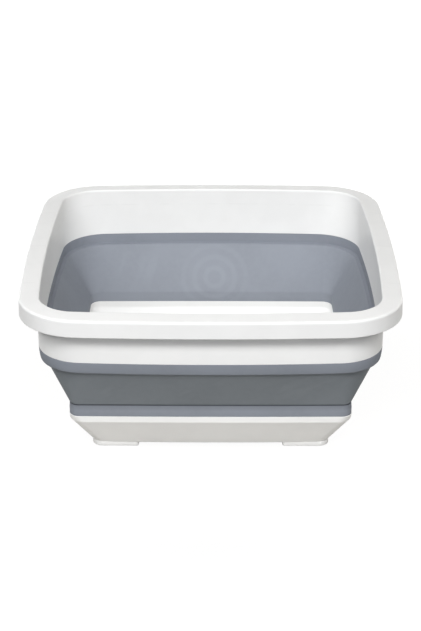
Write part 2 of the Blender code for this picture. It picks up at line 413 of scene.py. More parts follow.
@dataclass(frozen=True)
class Noise:
    """Soft noise from 0 to 1.

    Attributes:
        scale: grains per metre.
        detail: octaves beyond the first.
        rough: strength of each octave against the one before.
        span: values at which a mask made of it is 0 and 1.
    """

    scale: float
    detail: float = 2.0
    rough: float = 0.5
    span: Pair = (0.0, 1.0)

    MEAN = 0.5


class ShaderGraph:
    """Node tree of a material or a world, with short ways to add its nodes."""

    MIX_FACTOR, MIX_A, MIX_B, MIX_RESULT = 0, 6, 7, 2

    def __init__(self, tree: bpy.types.NodeTree) -> None:
        """Takes over a node tree and empties it."""
        tree.nodes.clear()
        self.tree = tree

    def node(self, kind: str, sockets: dict | None = None, **settings: object) -> bpy.types.Node:
        """Adds a node.

        Args:
            kind: type of the node, without ShaderNode in front.
            sockets: what each input socket gets, a constant or a link.
            settings: what the node itself is set to.

        Returns:
            The new node.
        """
        node = self.tree.nodes.new("ShaderNode" + kind)
        for name, value in settings.items():
            setattr(node, name, value)
        for name, value in (sockets or {}).items():
            if isinstance(value, Value):
                value = value.socket
            if isinstance(value, Socket):
                self.tree.links.new(value, node.inputs[name])
            else:
                node.inputs[name].default_value = value
        return node

    def math(self, operation: str, *numbers: Value | float) -> Value:
        """Result of one Math node."""
        return Value(self, self.node("Math", dict(enumerate(numbers)), operation=operation).outputs[0])

    def blend(self, factor: Feed, first: Feed, second: Feed, mode: str = "MIX") -> Socket:
        """Colour between two colours.

        Args:
            factor: share of the second colour.
            first: colour where the factor is 0.
            second: colour where the factor is 1.
            mode: way in which the two are blended.

        Returns:
            The colour's socket.
        """
        sockets = {self.MIX_FACTOR: factor, self.MIX_A: first, self.MIX_B: second}
        return self.node("Mix", sockets, data_type="RGBA", blend_type=mode).outputs[self.MIX_RESULT]

    def place(self) -> Socket:
        """Object coordinates."""
        return self.node("TexCoord").outputs["Object"]

    def marked(self, attribute: str) -> Value:
        """Value of a number stored on the mesh."""
        return Value(self, self.node("Attribute", attribute_name=attribute).outputs["Fac"])

    def rest_place(self) -> Socket:
        """Place of the surface while the bucket stands open, which stays with it as it folds."""
        return self.node("Attribute", attribute_name=REST_PLACE).outputs["Vector"]

    def stretched(self, place: Socket, scale: Triple) -> Socket:
        """Coordinates scaled by a different amount along each axis."""
        return self.node("Mapping", {"Vector": place, "Scale": scale}).outputs["Vector"]

    def noise(self, place: Socket, noise: Noise) -> Value:
        """Noise on the given coordinates."""
        sockets = {"Vector": place, "Scale": noise.scale, "Detail": noise.detail, "Roughness": noise.rough}
        return Value(self, self.node("TexNoise", sockets).outputs[0])

    def patches(self, place: Socket, noise: Noise) -> Value:
        """Mask made of noise on the given coordinates."""
        return self.fade(self.noise(place, noise), *noise.span)

    def fade(self, number: Value, start: float, end: float) -> Value:
        """Smooth step.

        Args:
            number: number that it follows.
            start: where it is 0, which may be the larger one.
            end: where it is 1.

        Returns:
            The step, from 0 to 1.
        """
        sockets = {"Value": number, "From Min": min(start, end), "From Max": max(start, end)}
        step = Value(self, self.node("MapRange", sockets, interpolation_type="SMOOTHSTEP").outputs[0])
        return step if start < end else 1 - step

    def near(self, number: Value, centre: float, width: float) -> Value:
        """Mask that is 1 at a value and fades to 0 within the width on both sides."""
        return self.fade(abs(number - centre), width, 0.0)

    def split(self, place: Socket) -> Axes:
        """X, Y and Z of coordinates."""
        x, y, z = self.node("SeparateXYZ", {"Vector": place}).outputs
        return Value(self, x), Value(self, y), Value(self, z)

    def bump(self, height: Value, distance: float) -> Socket:
        """Normal bent by a height from 0 to 1 that stands for the given distance."""
        return self.node("Bump", {"Height": height, "Distance": distance}).outputs["Normal"]


Look = tuple[Socket, Value, Value]


@dataclass(frozen=True)
class Finish:
    """Surface of one material.

    Attributes:
        name: name of the material.
        colour: plain colour.
        roughness: plain roughness.
        ior: index of refraction.
        specular: level of the plain reflection.
        grain_depth: distance that a bump height of 1 stands for.
    """

    name: str
    colour: Colour
    roughness: float
    ior: float
    specular: float
    grain_depth: float

    def material(self) -> bpy.types.Material:
        """Builds the material.

        Returns:
            The material, ready for its piece.
        """
        material = bpy.data.materials.new(self.name)
        material.use_nodes = True
        graph = ShaderGraph(material.node_tree)
        colour, roughness, height = self._surface(graph)
        sockets = {
            "Base Color": colour,
            "Roughness": roughness,
            "IOR": self.ior,
            "Specular IOR Level": self.specular,
            "Normal": graph.bump(height, self.grain_depth),
        }
        shader = graph.node("BsdfPrincipled", sockets)
        graph.node("OutputMaterial", {"Surface": shader.outputs[0]})
        return material

    def _surface(self, graph: ShaderGraph) -> Look:
        """Colour, roughness and bump height of the surface, which each finish makes its own way."""
        raise NotImplementedError

    def shade(self, fraction: float) -> Colour:
        """The plain colour, made lighter or darker by a fraction."""
        red, green, blue, alpha = self.colour
        return red * fraction, green * fraction, blue * fraction, alpha

    def two_tone(self, graph: ShaderGraph, mask: Value, shades: Pair) -> Socket:
        """Colour that goes from one shade to another as a mask goes from 0 to 1."""
        return graph.blend(mask, *[self.shade(fraction) for fraction in shades])

    def layered(self, graph: ShaderGraph, colour: Socket, *layers: tuple[Value, Pair]) -> Socket:
        """Draws a colour towards lighter and darker shades of the plain one, one after another.

        Args:
            graph: graph of the material.
            colour: colour so far.
            layers: where each shade shows, with how strongly it does and its fraction of the plain colour.

        Returns:
            The colour with all the layers.
        """
        for mask, (share, fraction) in layers:
            colour = graph.blend(share * mask, colour, self.shade(fraction))
        return colour


@dataclass(frozen=True)
class WhitePlastic(Finish):
    """White polypropylene with a fine moulded grain, soft mottling, sink marks and light scuffs."""

    name: str = "white_polypropylene"
    colour: Colour = (0.86, 0.86, 0.85, 1.0)
    roughness: float = 0.40
    ior: float = 1.49
    specular: float = 0.42
    grain_depth: float = 0.00005
    mottle: Noise = Noise(26.0, 3.0, 0.55, (0.35, 0.65))
    mottle_shades: Pair = (0.985, 1.01)
    grain: Noise = Noise(1500.0, 2.0, 0.6)
    scratch: Noise = Noise(1.0, 1.0, span=(0.66, 0.76))
    scratch_ways: tuple[Triple, Triple] = ((30.0, 1400.0, 900.0), (1100.0, 24.0, 700.0))
    scuffed: Noise = Noise(17.0, 1.0, span=(0.50, 0.68))
    scuff_tint: Pair = (0.25, 0.93)
    sink_places: Pair = (0.0, 0.097)
    sink_width: float = 0.0016
    sink_start: Pair = (0.1715, 0.1755)  # outward, where the flange begins
    sink_rise: Pair = (0.160, 0.166)
    sink_tint: Pair = (0.5, 0.94)
    rubbed_skirt: Pair = (0.1539, 0.0016)  # height and width
    rubbed_foot: Pair = (0.0047, 0.0014)
    rubbed: Noise = Noise(60.0, 3.0, span=(0.40, 0.62))
    rubbed_tint: Pair = (0.30, 0.90)
    mottle_dulling: float = 0.10  # what each adds to the roughness
    grain_dulling: float = 0.05
    scuff_dulling: float = 0.12
    rubbed_dulling: float = 0.10
    grain_relief: float = 0.7  # what each adds to the bump height
    mottle_relief: float = 0.6
    sink_relief: float = -0.8
    scuff_relief: float = -0.2

    def _surface(self, graph: ShaderGraph) -> Look:
        """Makes the plastic's colour, roughness and bump height.

        Args:
            graph: graph of the material.

        Returns:
            All three.
        """
        place = graph.place()
        axes = graph.split(place)
        mottle = graph.noise(place, self.mottle)
        grain = graph.noise(place, self.grain)
        scuffs = self._scuffs(graph, place)
        sink = self._sink_marks(graph, *axes)
        rubbed = self._rubbed_edges(graph, axes[2]) * graph.patches(place, self.rubbed)
        colour = self.two_tone(graph, graph.fade(mottle, *self.mottle.span), self.mottle_shades)
        layers = (sink, self.sink_tint), (rubbed, self.rubbed_tint), (scuffs, self.scuff_tint)
        uneven = self.mottle_dulling * (mottle - Noise.MEAN) + self.grain_dulling * (grain - Noise.MEAN)
        roughness = self.roughness + uneven + self.scuff_dulling * scuffs + self.rubbed_dulling * rubbed
        height = self.grain_relief * grain + self.mottle_relief * mottle
        height += self.sink_relief * sink + self.scuff_relief * scuffs
        return self.layered(graph, colour, *layers), roughness, height

    def _scuffs(self, graph: ShaderGraph, place: Socket) -> Value:
        """Sparse fine scratches in two directions."""
        along, across = [graph.noise(graph.stretched(place, way), self.scratch) for way in self.scratch_ways]
        return graph.fade(along.larger(across), *self.scratch.span) * graph.patches(place, self.scuffed)

    def _sink_marks(self, graph: ShaderGraph, x: Value, y: Value, z: Value) -> Value:
        """Faint lines that cross the flange, where the plastic has shrunk."""
        middle, side = [graph.near(abs(y), centre, self.sink_width) for centre in self.sink_places]
        return middle.larger(side) * graph.fade(abs(x), *self.sink_start) * graph.fade(z, *self.sink_rise)

    def _rubbed_edges(self, graph: ShaderGraph, z: Value) -> Value:
        """Edges that touch hands and shelves and have lost their gloss."""
        return graph.near(z, *self.rubbed_skirt).larger(graph.near(z, *self.rubbed_foot))


@dataclass(frozen=True)
class GreyRubber(Finish):
    """Matt grey rubber with a fine grain, clouding, and flow rings and streaks on its back panel.

    Its inner faces are painted lighter, most of all below the ledge, as painted light, and the panel's outer
    face is painted darker and greener, as painted shade; the crease over the lower hinge carries painted
    shade.
    """

    name: str = "grey_thermoplastic_rubber"
    colour: Colour = (0.239, 0.258, 0.293, 1.0)
    roughness: float = 0.66
    ior: float = 1.48
    specular: float = 0.12
    grain_depth: float = 0.00006
    cloud: Noise = Noise(19.0, 3.0, span=(0.34, 0.66))
    cloud_shades: Pair = (0.965, 1.03)
    mottle: Noise = Noise(170.0, 3.0, 0.6, (0.36, 0.64))
    mottle_tint: Pair = (0.35, 1.06)
    grain: Noise = Noise(1300.0, 2.0, 0.6)
    pores: Noise = Noise(2600.0, 1.0, span=(0.58, 0.70))
    pores_tint: Pair = (0.20, 0.86)
    gate_place: Pair = (0.0036, 0.0722)
    ring_squash: float = 1.13  # of their height against their width
    ring_pitch: float = 0.0129
    ring_start: float = 0.0104
    ring_reach: float = 0.046
    ring_edge: float = 0.86  # share of the reach at which they start to fade
    ring_waves: Pair = (-0.6, 1.0)
    ring_breaks: Noise = Noise(26.0, span=(0.30, 0.62))
    ring_back: Pair = (0.10, 0.12)  # only the back panel shows them
    outer_ring: float = 0.6  # strength of an outer ring where it isn't broken
    ring_tint: Pair = (0.40, 1.16)
    streak_lean: float = 0.86
    streak_scale: Triple = (34.0, 16.0, 5.0)
    streaks: Noise = Noise(1.0, span=(0.54, 0.66))
    streak_tint: Pair = (0.40, 1.14)
    panel_foot_fade: Pair = (FOLD_FOOT - 0.0004, FOLD_FOOT + 0.0006)
    panel_top_fade: Pair = (FOLD_TOP, FOLD_TOP - 0.0012)
    ledge_fade: Pair = (FOLD_TOP + 0.0004, FOLD_TOP - 0.0004)
    # painted light on the inner faces, and more of it below the ledge
    inner_painted_light: Colour = (1.045, 1.04, 1.045, 1.0)
    below_ledge_painted_light: Colour = (1.075, 1.075, 1.065, 1.0)
    # painted shade on the panel's outer face, which faces down: darker and greener
    panel_painted_shade: Colour = (0.945, 0.96, 0.915, 1.0)
    # painted shade in the crease over the lower hinge
    crease_shade_tint: Pair = (1.0, 0.56)
    cloud_dulling: float = 0.10  # what each adds to the roughness
    grain_dulling: float = 0.08
    ring_dulling: float = -0.06
    grain_relief: float = 0.7  # what each adds to the bump height
    cloud_relief: float = 0.3
    pore_relief: float = -0.3
    ring_relief: float = 0.15

    def _surface(self, graph: ShaderGraph) -> Look:
        """Makes the rubber's colour, roughness and bump height.

        Args:
            graph: graph of the material.

        Returns:
            All three.
        """
        place = graph.rest_place()
        axes = graph.split(place)
        cloud = graph.noise(place, self.cloud)
        grain = graph.noise(place, self.grain)
        pores = graph.patches(place, self.pores)
        rings = self._flow_rings(graph, axes)
        layers = (
            (graph.patches(place, self.mottle), self.mottle_tint),
            (self._flow_streaks(graph, axes), self.streak_tint),
            (rings, self.ring_tint),
            (pores, self.pores_tint),
        )
        colour = self.two_tone(graph, graph.fade(cloud, *self.cloud.span), self.cloud_shades)
        colour = self._painted_light_and_shade(graph, self.layered(graph, colour, *layers), axes[2])
        # Painted shade in the crease over the lower hinge, fading down the lower band's top.
        colour = self.layered(graph, colour, (graph.marked(CREASE_SHADE), self.crease_shade_tint))
        uneven = self.cloud_dulling * (cloud - Noise.MEAN) + self.grain_dulling * (grain - Noise.MEAN)
        roughness = self.roughness + uneven + self.ring_dulling * rings
        height = self.grain_relief * grain + self.cloud_relief * cloud
        height += self.pore_relief * pores + self.ring_relief * rings
        return colour, roughness, height

    def _painted_light_and_shade(self, graph: ShaderGraph, colour: Socket, z: Value) -> Socket:
        """Paints light on the inner faces, more below the ledge, and paints shade, darker and greener, on the
        panel's outer face.

        Args:
            graph: graph of the material.
            colour: colour so far.
            z: height on the surface, while the bucket stands open.

        Returns:
            The colour after it.
        """
        inner = graph.marked(INNER_FACE)
        panel = graph.fade(z, *self.panel_foot_fade) * graph.fade(z, *self.panel_top_fade)
        # Painted shade on the panel's outer face, darker and greener.
        colour = graph.blend(panel * (1.0 - inner), colour, self.panel_painted_shade, "MULTIPLY")
        # Painted light on the inner faces, more again below the ledge.
        colour = graph.blend(inner, colour, self.inner_painted_light, "MULTIPLY")
        return graph.blend(graph.fade(z, *self.ledge_fade) * inner, colour, self.below_ledge_painted_light, "MULTIPLY")

    def _flow_rings(self, graph: ShaderGraph, axes: Axes) -> Value:
        """Makes faint rings round the gate in the middle of the back panel, broken towards the outer one.

        Args:
            graph: graph of the material.
            axes: place on the surface, while the bucket stands open.

        Returns:
            The rings' mask.
        """
        x, y, z = axes
        along = x - self.gate_place[0]
        up = (z - self.gate_place[1]) * self.ring_squash
        spread = graph.math("SQRT", along * along + up * up)
        waves = graph.math("COSINE", (spread - self.ring_start) * (math.tau / self.ring_pitch))
        inside = graph.fade(spread, self.ring_reach, self.ring_reach * self.ring_edge)
        broken = graph.patches(graph.rest_place(), self.ring_breaks)
        outward = graph.fade(spread, self.ring_start, self.ring_reach)
        weakened = 1.0 - outward * (1.0 - self.outer_ring * broken)
        return graph.fade(waves, *self.ring_waves) * inside * weakened * graph.fade(y, *self.ring_back)

    def _flow_streaks(self, graph: ShaderGraph, axes: Axes) -> Value:
        """Makes the faint slanting streaks that the rubber left between the hinges as it filled the mould.

        Args:
            graph: graph of the material.
            axes: place on the surface, while the bucket stands open.

        Returns:
            The streaks' mask.
        """
        x, y, z = axes
        lean = x + y - self.streak_lean * z
        along, across, up = self.streak_scale
        spot = graph.node("CombineXYZ", {"X": along * lean, "Y": across * (x - y), "Z": up * z}).outputs[0]
        between = graph.near(z, (FOLD_TOP + FOLD_FOOT) / 2, (FOLD_TOP - FOLD_FOOT) / 2)
        return graph.patches(spot, self.streaks) * between


@dataclass(frozen=True)
class PaleRubber(Finish):
    """Pale, slightly dusty foot rubber with a fine grain."""

    name: str = "pale_foot_rubber"
    colour: Colour = (0.78, 0.78, 0.77, 1.0)
    roughness: float = 0.58
    ior: float = 1.48
    specular: float = 0.35
    grain_depth: float = 0.00006
    cloud: Noise = Noise(90.0, 3.0, span=(0.35, 0.6))
    cloud_shades: Pair = (0.97, 1.02)
    grain: Noise = Noise(1700.0, 2.0, 0.6)
    dust_height: Pair = (0.0022, 0.0002)
    dust_tint: Pair = (0.5, 0.86)
    cloud_dulling: float = 0.12  # what each adds to the roughness
    dust_dulling: float = 0.1
    grain_relief: float = 0.7  # what each adds to the bump height
    cloud_relief: float = 0.3

    def _surface(self, graph: ShaderGraph) -> Look:
        """Makes the pads' colour, roughness and bump height.

        Args:
            graph: graph of the material.

        Returns:
            All three.
        """
        place = graph.place()
        cloud = graph.noise(place, self.cloud)
        grain = graph.noise(place, self.grain)
        dust = graph.fade(graph.split(place)[2], *self.dust_height) * graph.fade(cloud, *self.cloud.span)
        colour = self.layered(graph, self.two_tone(graph, cloud, self.cloud_shades), (dust, self.dust_tint))
        roughness = self.roughness + self.cloud_dulling * (cloud - Noise.MEAN) + self.dust_dulling * dust
        return colour, roughness, self.grain_relief * grain + self.cloud_relief * cloud


def wall_section(offset: float, height: float, rounding: float = 0.0) -> Section:
    """Section parallel to the rim's wall.

    Args:
        offset: distance outward from the wall's outer face, 0 or less.
        height: height above the floor.
        rounding: radius of the edge along it.

    Returns:
        The section, with corners that widen from the flange down to the grey band.
    """
    share = min(max((CREST - height) / (CREST - UPPER_SEAM), 0.0), 1.0)
    widening = RimFrame.INNER_WIDENING * min(-offset, RimFrame.thick)
    corner = mix(RimFrame.CORNER_TOP, RimFrame.CORNER_FOOT + widening, share)
    return Section(RimFrame.WALL_HALF + offset, corner + offset, RimFrame.BOW, height, rounding)


def lower_section(offset: float, height: float, rounding: float = 0.0) -> Section:
    """Section parallel to the lower band, at a distance outward from its outer face."""
    half, corner = FoldingWall.LOWER_HALF + offset, FoldingWall.LOWER_CORNER + offset
    return Section(half, corner, BaseTray.BOW, height, rounding)


def tongue(
    section: Callable[[float, float], Section], first: float, second: float, level: float, end: float
) -> list[Section]:
    """Profile of a tongue or a groove, out along one side and back along the other.

    Args:
        section: makes a section from an offset and a height.
        first: offset of the side that is drawn first.
        second: offset of the other side.
        level: height that it starts from.
        end: height that it reaches.

    Returns:
        Its four sections.
    """
    return [section(first, level), section(first, end), section(second, end), section(second, level)]


class Part:
    """One piece of the bucket, which knows its form and what it belongs to."""

    def build(self) -> Piece:
        """Models the piece and returns it finished, without a material."""
        raise NotImplementedError

    def dress(self, piece: Piece, material: bpy.types.Material) -> None:
        """Gives the piece its material and ties it to the frame.

        Args:
            piece: the built piece.
            material: its material.
        """
        piece.data.materials.append(material)
        self._tie(piece)

    def _tie(self, piece: Piece) -> None:
        """Names the piece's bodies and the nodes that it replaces."""
        raise NotImplementedError


@dataclass
class RimFrame(Part):
    """White rim: a sloping flange with a turned-down skirt, and the wall inside it."""

    WALL_HALF = 0.1734
    CORNER_TOP = 0.0408
    CORNER_FOOT = 0.0465
    INNER_WIDENING = 1.8  # how much rounder the inner corners get towards the grey band, per metre inward
    BOW = 0.0074

    inset: float = 0.0166  # flange edge to the outer face of the wall
    thick: float = 0.0028
    flange_thick: float = 0.0024
    flange_drop: float = 0.0014
    flange_corner: float = 0.062
    skirt_depth: float = 0.0186
    skirt_thick: float = 0.0022
    skirt_flare: float = 0.0005
    crest_round: float = 0.0020
    edge_round: float = 0.0022
    under_round: float = 0.0012
    skirt_round: float = 0.0005

    def flange_section(self, offset: float, height: float, rounding: float = 0.0) -> Section:
        """Section between the wall and the flange's edge, whose corners are rounder than the wall's."""
        corner = mix(self.CORNER_TOP, self.flange_corner, offset / self.inset)
        return Section(self.WALL_HALF + offset, corner, self.BOW, height, rounding)

    def flange_top(self, offset: float) -> float:
        """Height of the flange's upper face at a distance outward from the wall."""
        return CREST - self.flange_drop * (offset + self.thick) / (self.inset + self.thick)

    def build(self) -> Piece:
        """Draws the frame as one closed ring, from the seam up its outer face and down its inner one.

        Returns:
            The finished piece.
        """
        skirt_edge = CREST - self.skirt_depth
        skirt_out = self.inset + self.skirt_flare
        skirt_in = skirt_out - self.skirt_thick
        shoulder = (self.thick - TONGUE_THICK) / 2
        under = self.flange_top(skirt_in) - self.flange_thick
        ring = Moulding("rim_frame_shell", wall_section(0, UPPER_SEAM, SEAM_ROUND))
        ring.draw(
            self.flange_section(0, self.flange_top(0) - self.flange_thick, self.under_round),
            self.flange_section(skirt_in, under, self.under_round),
            self.flange_section(skirt_in, skirt_edge, self.skirt_round),
            self.flange_section(skirt_out, skirt_edge, self.skirt_round),
            self.flange_section(self.inset, self.flange_top(self.inset), self.edge_round),
            wall_section(-self.thick, CREST, self.crest_round),
            wall_section(-self.thick, UPPER_SEAM, SEAM_ROUND),
            *tongue(wall_section, shoulder - self.thick, -shoulder, UPPER_SEAM, UPPER_SEAM - UPPER_TONGUE),
        )
        ring.close_ring()
        return ring.finish()

    def _tie(self, piece: Piece) -> None:
        """Ties the frame to the rim.

        Args:
            piece: the built frame.
        """
        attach(piece, Body.RIM.value)
        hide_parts("rim_frame")


@dataclass
class FoldingWall(Part):
    """Grey wall in one moulding: upper band with its ledge, the panel that folds, and the lower band."""

    LOWER_HALF = 0.1421
    LOWER_CORNER = 0.0105
    TOP = UPPER_SEAM - 0.0001  # a hair's breadth from the white mouldings
    FOOT = LOWER_SEAM + 0.0001

    band_taper: float = 0.0016
    band_rows: int = 6
    band_fullness: float = 0.0020
    hinge_step: float = 0.0029
    ledge_drop: float = 0.0007
    ledge_rise: float = 0.0007
    panel_thick: float = 0.0022
    panel_rows: int = 26
    panel_top_corner: float = 0.0485
    panel_fullness: float = 0.3
    panel_foot_corner: float = 0.0095
    panel_foot_outset: float = -0.0004
    lower_top_inset: float = 0.0005
    lower_foot_inset: float = 0.0002
    inner_corner: float = 0.0120
    inner_seam_rise: float = 0.0010
    tongue_outset: float = 0.0011
    lower_thick: float = 0.0028
    groove_gap: float = 0.0003
    crease_top_depth: float = 0.0015
    crease_foot_depth: float = 0.0020
    crease_top: float = 0.0010  # edge of the panel's outer face, above the lower hinge
    crease_foot: float = 0.0006  # edge of the lower band, below it
    crease_drop: float = 0.0018
    # painted shade on the lower band's top, just below the crease
    band_top_crease_shade: float = 0.50
    band_round: float = 0.0016
    lower_top_round: float = 0.0003
    lower_foot_round: float = 0.0005
    inner_hinge_drop: float = 0.0008
    inner_hinge_round: float = 0.0003
    ledge_round: float = 0.0003
    ledge_top_round: float = 0.0004
    inner_tilt: float = 0.2  # outward part of the normal, below which a face is an inner one

    def panel_section(self, share: float, inward: float) -> Section:
        """Section of the panel.

        Args:
            share: 0 at the upper hinge and 1 at the lower one.
            inward: distance in from the panel's outer face, measured level.

        Returns:
            The section.
        """
        outer_top = RimFrame.WALL_HALF - self.band_taper - self.hinge_step
        outer_foot = self.LOWER_HALF + self.panel_foot_outset
        foot_corner = mix(self.panel_foot_corner, self.inner_corner, inward / self.panel_thick)
        full = share + self.panel_fullness * share * (1 - share)
        return Section(
            mix(outer_top, outer_foot, share) - inward,
            mix(self.panel_top_corner - inward, foot_corner, full),
            mix(RimFrame.BOW, BaseTray.BOW, share),
            mix(FOLD_TOP, FOLD_FOOT + self.crease_top * (1 - inward / self.panel_thick), share),
        )

    def build(self) -> Piece:
        """Draws the wall as one closed ring, down its outer face and up its inner one.

        Returns:
            The finished piece.
        """
        ring = Moulding("folding_wall", wall_section(0, self.TOP, SEAM_ROUND))
        for row in range(1, self.band_rows):
            share = row / self.band_rows
            ring.draw(self.band_section(share, mix(self.TOP, FOLD_TOP, share)))
        ring.draw(self.band_section(1.0, FOLD_TOP, self.band_round))
        self._draw_panel(ring, 0.0, False)
        self._draw_lower_band(ring)
        ring.draw(self.inner_section(FOLD_FOOT - self.inner_hinge_drop, self.inner_hinge_round))
        self._draw_panel(ring, self.panel_thick, True)
        self._draw_ledge(ring)
        ring.close_ring()
        return ring.finish()

    def _draw_lower_band(self, ring: Moulding) -> None:
        """Adds the crease, the lower band's outer face and the groove in its foot to the ring, with shade
        painted in the crease that fades down the band's top.

        Args:
            ring: moulding of the wall.
        """
        groove_out = self.groove_gap - self.tongue_outset
        groove_in = -self.tongue_outset - TONGUE_THICK - self.groove_gap
        groove_end = LOWER_SEAM + LOWER_TONGUE + self.groove_gap
        # The crease's sections carry full painted shade, the band's top a part of it, fading to none at mid
        # band.
        band_top = lower_section(-self.lower_top_inset, FOLD_FOOT - self.crease_foot, self.lower_top_round)
        ring.draw(
            lower_section(-self.crease_top_depth, FOLD_FOOT + self.crease_top).with_crease_shade(1.0),
            lower_section(-self.crease_foot_depth, FOLD_FOOT - self.crease_drop).with_crease_shade(1.0),
            band_top.with_crease_shade(self.band_top_crease_shade),
            lower_section(0, (self.FOOT + FOLD_FOOT) / 2),
            lower_section(-self.lower_foot_inset, self.FOOT, self.lower_foot_round),
            *tongue(lower_section, groove_out, groove_in, self.FOOT, groove_end),
            self.inner_section(self.FOOT + self.inner_seam_rise),
        )

    def _draw_ledge(self, ring: Moulding) -> None:
        """Adds the ledge, the upper band's inner face and the groove in its top to the ring.

        Args:
            ring: moulding of the wall.
        """
        thick = RimFrame.thick
        lip = (thick - TONGUE_THICK) / 2 - self.groove_gap
        ledge_reach = self.band_taper + self.hinge_step + self.panel_thick - self.ledge_rise / 2
        ring.draw(
            wall_section(-ledge_reach, FOLD_TOP + self.ledge_rise, self.ledge_round),
            wall_section(-thick, FOLD_TOP + self.ledge_rise + self.ledge_drop, self.ledge_top_round),
            wall_section(-thick, self.TOP, SEAM_ROUND),
            *tongue(wall_section, lip - thick, -lip, self.TOP, UPPER_SEAM - UPPER_TONGUE - self.groove_gap),
        )

    def band_section(self, share: float, height: float, rounding: float = 0.0) -> Section:
        """Section of the upper band's outer face, whose corners are fuller than the white wall's.

        Args:
            share: 0 at the band's top and 1 at the upper hinge.
            height: height above the floor.
            rounding: radius of the edge along it.

        Returns:
            The section.
        """
        taper = self.band_taper * share**2
        corner = RimFrame.CORNER_FOOT - taper - self.band_fullness * share
        return Section(RimFrame.WALL_HALF - taper, corner, RimFrame.BOW, height, rounding)

    def inner_section(self, height: float, rounding: float = 0.0) -> Section:
        """Section of the lower band's inner face, whose corners are wider than those outside."""
        return Section(self.LOWER_HALF - self.lower_thick, self.inner_corner, BaseTray.BOW, height, rounding)

    def _draw_panel(self, ring: Moulding, inward: float, upward: bool) -> None:
        """Adds one face of the panel to the ring, in enough rows to fold softly.

        Args:
            ring: moulding that the rows are added to.
            inward: distance in from the panel's outer face.
            upward: whether the rows go from the lower hinge to the upper one.
        """
        rows = [self.panel_section(row / self.panel_rows, inward) for row in range(self.panel_rows + 1)]
        ring.draw(*(reversed(rows) if upward else rows))

    def _tie(self, piece: Piece) -> None:
        """Marks places and inner faces for the rubber, and ties the wall to the rim and the base.

        Args:
            piece: the built wall.
        """
        rest = piece.data.attributes.new(REST_PLACE, "FLOAT_VECTOR", "POINT")
        for vertex, place in zip(piece.data.vertices, rest.data):
            place.vector = vertex.co
        inner = piece.data.attributes.new(INNER_FACE, "FLOAT", "POINT")
        for vertex, mark in zip(piece.data.vertices, inner.data):
            outward = vertex.normal.xy.dot(vertex.co.xy.normalized())
            mark.value = float(outward < self.inner_tilt)
        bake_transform(piece, Body.RIM.value, Body.BASE.value, start=(0, 0, FOLD_TOP), end=(0, 0, FOLD_FOOT))
        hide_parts("wall_upper_band", "wall_fold_panel", "wall_lower_band")


@dataclass
class BaseTray(Part):
    """White base: floor, sloping walls, an upright band and the tongue that the grey wall grips."""

    BOW = 0.0010

    foot_half: float = 0.1216
    foot_bow: float = 0.0018
    foot_corner: float = 0.0115
    edge_half: float = 0.1420
    edge_corner: float = 0.0145
    slope_thick: float = 0.0024
    band_proud: float = 0.0003
    underside_round: float = 0.0005
    band_foot_round: float = 0.0004
    band_top_round: float = 0.0003
    edge_round: float = 0.0010
    floor_round: float = 0.0030
    floor_strip: float = 0.006  # flat strip along the edges of the floor and the underside

    def build(self) -> Piece:
        """Draws the tray from its underside, up the outside and down the inside.

        Returns:
            The finished piece.
        """
        wall = FoldingWall()
        run = (self.edge_half - self.foot_half) / (BASE_BAND_FOOT - BASE_UNDERSIDE)
        level_thick = self.slope_thick * math.hypot(1, run)
        band_inner = wall.LOWER_HALF - wall.lower_thick
        floor_inner = self.foot_half + (TRAY_FLOOR - BASE_UNDERSIDE) * run - level_thick
        slope_top = TRAY_FLOOR + (band_inner - floor_inner) / run
        tongue_in = wall.tongue_outset + TONGUE_THICK
        tongue_top = LOWER_SEAM + LOWER_TONGUE
        under = Section(self.foot_half, self.foot_corner, self.foot_bow, BASE_UNDERSIDE, self.underside_round)
        tray = Moulding("base_tray_shell", under)
        tray.draw(
            Section(self.edge_half, self.edge_corner, self.BOW, BASE_BAND_FOOT, self.band_foot_round),
            lower_section(self.band_proud, LOWER_SEAM, self.band_top_round),
            *tongue(lower_section, -wall.tongue_outset, -tongue_in, LOWER_SEAM, tongue_top),
            wall.inner_section(LOWER_SEAM + wall.inner_seam_rise, SEAM_ROUND),
            wall.inner_section(slope_top, self.edge_round),
            Section(floor_inner, wall.inner_corner, self.BOW, TRAY_FLOOR, self.floor_round),
        )
        tray.close_floor(self.floor_strip)
        return tray.finish()

    def _tie(self, piece: Piece) -> None:
        """Ties the tray to the base.

        Args:
            piece: the built tray.
        """
        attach(piece, Body.BASE.value)
        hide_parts("base_tray")


